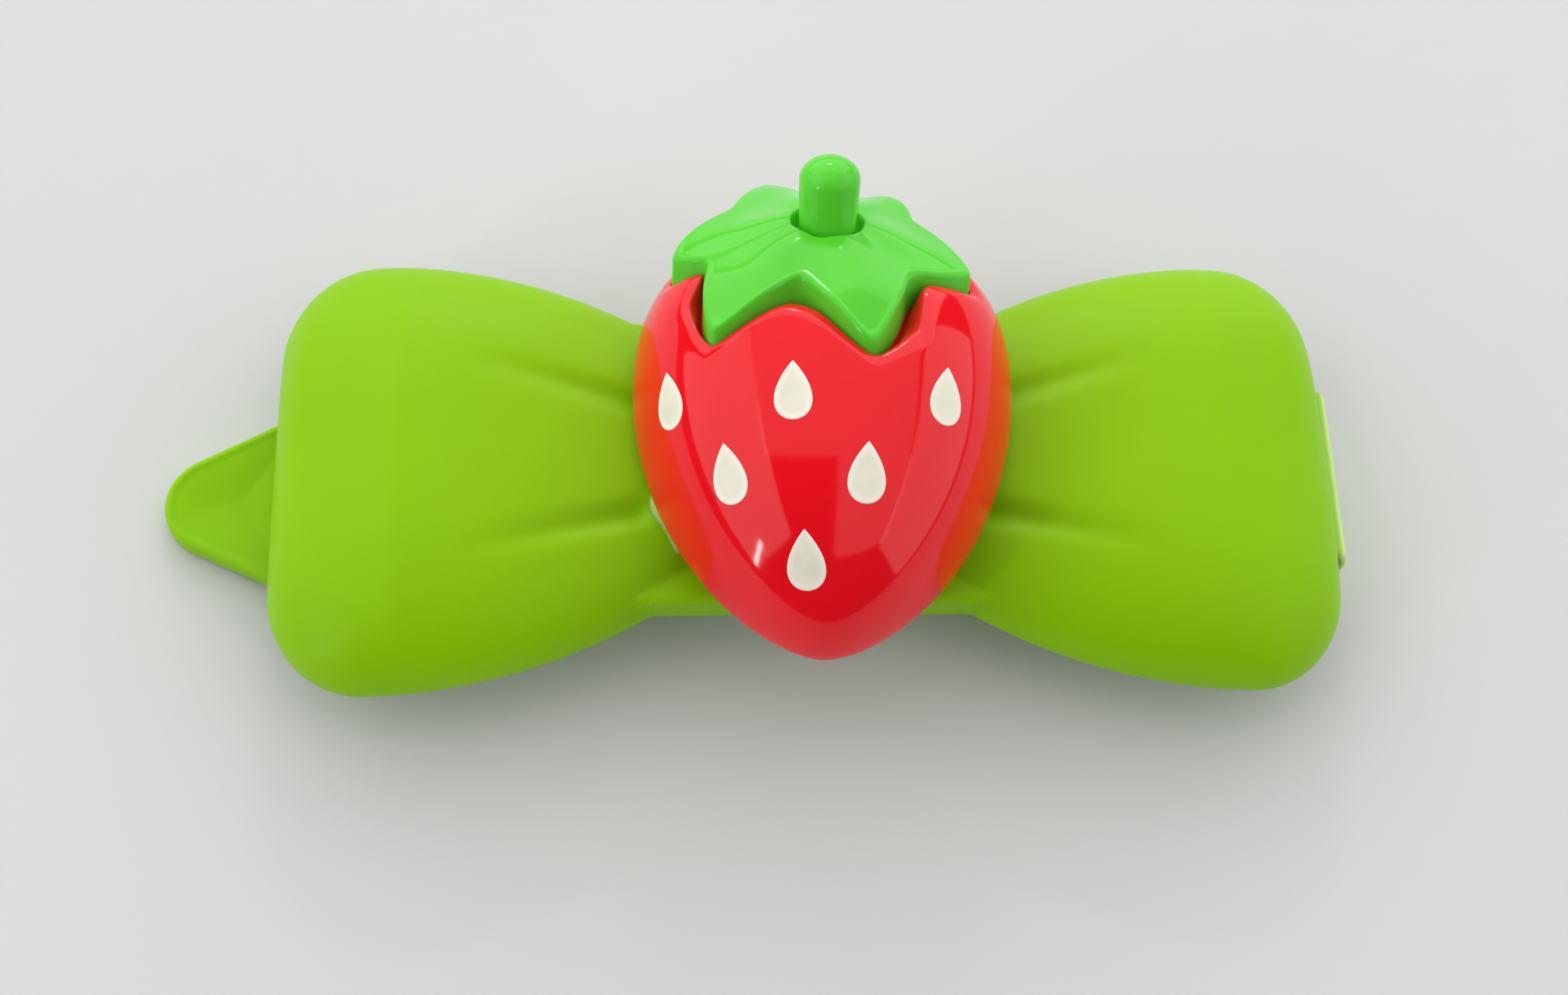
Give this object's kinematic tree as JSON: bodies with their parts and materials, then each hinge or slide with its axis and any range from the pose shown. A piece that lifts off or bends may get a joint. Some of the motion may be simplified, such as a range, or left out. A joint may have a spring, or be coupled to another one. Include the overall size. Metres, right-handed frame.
{
  "type": "hair clip",
  "caption": "Child's bow-shaped plastic hair clip with a back arm on a living hinge and a glossy moulded strawberry glued on its middle.",
  "frame": {"origin": "middle of the clasp arm's underside, on its flat middle facet, below the middle of the bow", "axes": "+X along the clip from the thumb tab to the hinge, +Y towards the strawberry's stem, +Z out of the bow's front"},
  "size_m": [0.0564, 0.0237, 0.0171],
  "materials": {
    "lime_plastic": "satin moulded polypropylene",
    "red_plastic": "high gloss",
    "leaf_plastic": "soft gloss",
    "white_paint": "off-white enamel filling",
    "clear_glue": "set clear adhesive"
  },
  "bodies": {
    "arm": {"clasp_arm": "lime_plastic", "living_hinge": "lime_plastic"},
    "bow": {"bow_shell": "lime_plastic", "glue_pad": "clear_glue", "strawberry_body": "red_plastic", "calyx": "leaf_plastic", "seed_1": "white_paint", "seed_2": "white_paint", "seed_3": "white_paint", "seed_4": "white_paint", "seed_5": "white_paint", "seed_6": "white_paint"}
  },
  "joints": [
    {"name": "clip_hinge", "type": "hinge", "parent": "arm", "child": "bow", "pos_m": [0.0249, 0, 0.00155], "axis": [0, 1, 0], "range_deg": [0, 100], "deforming": ["living_hinge"]}
  ]
}
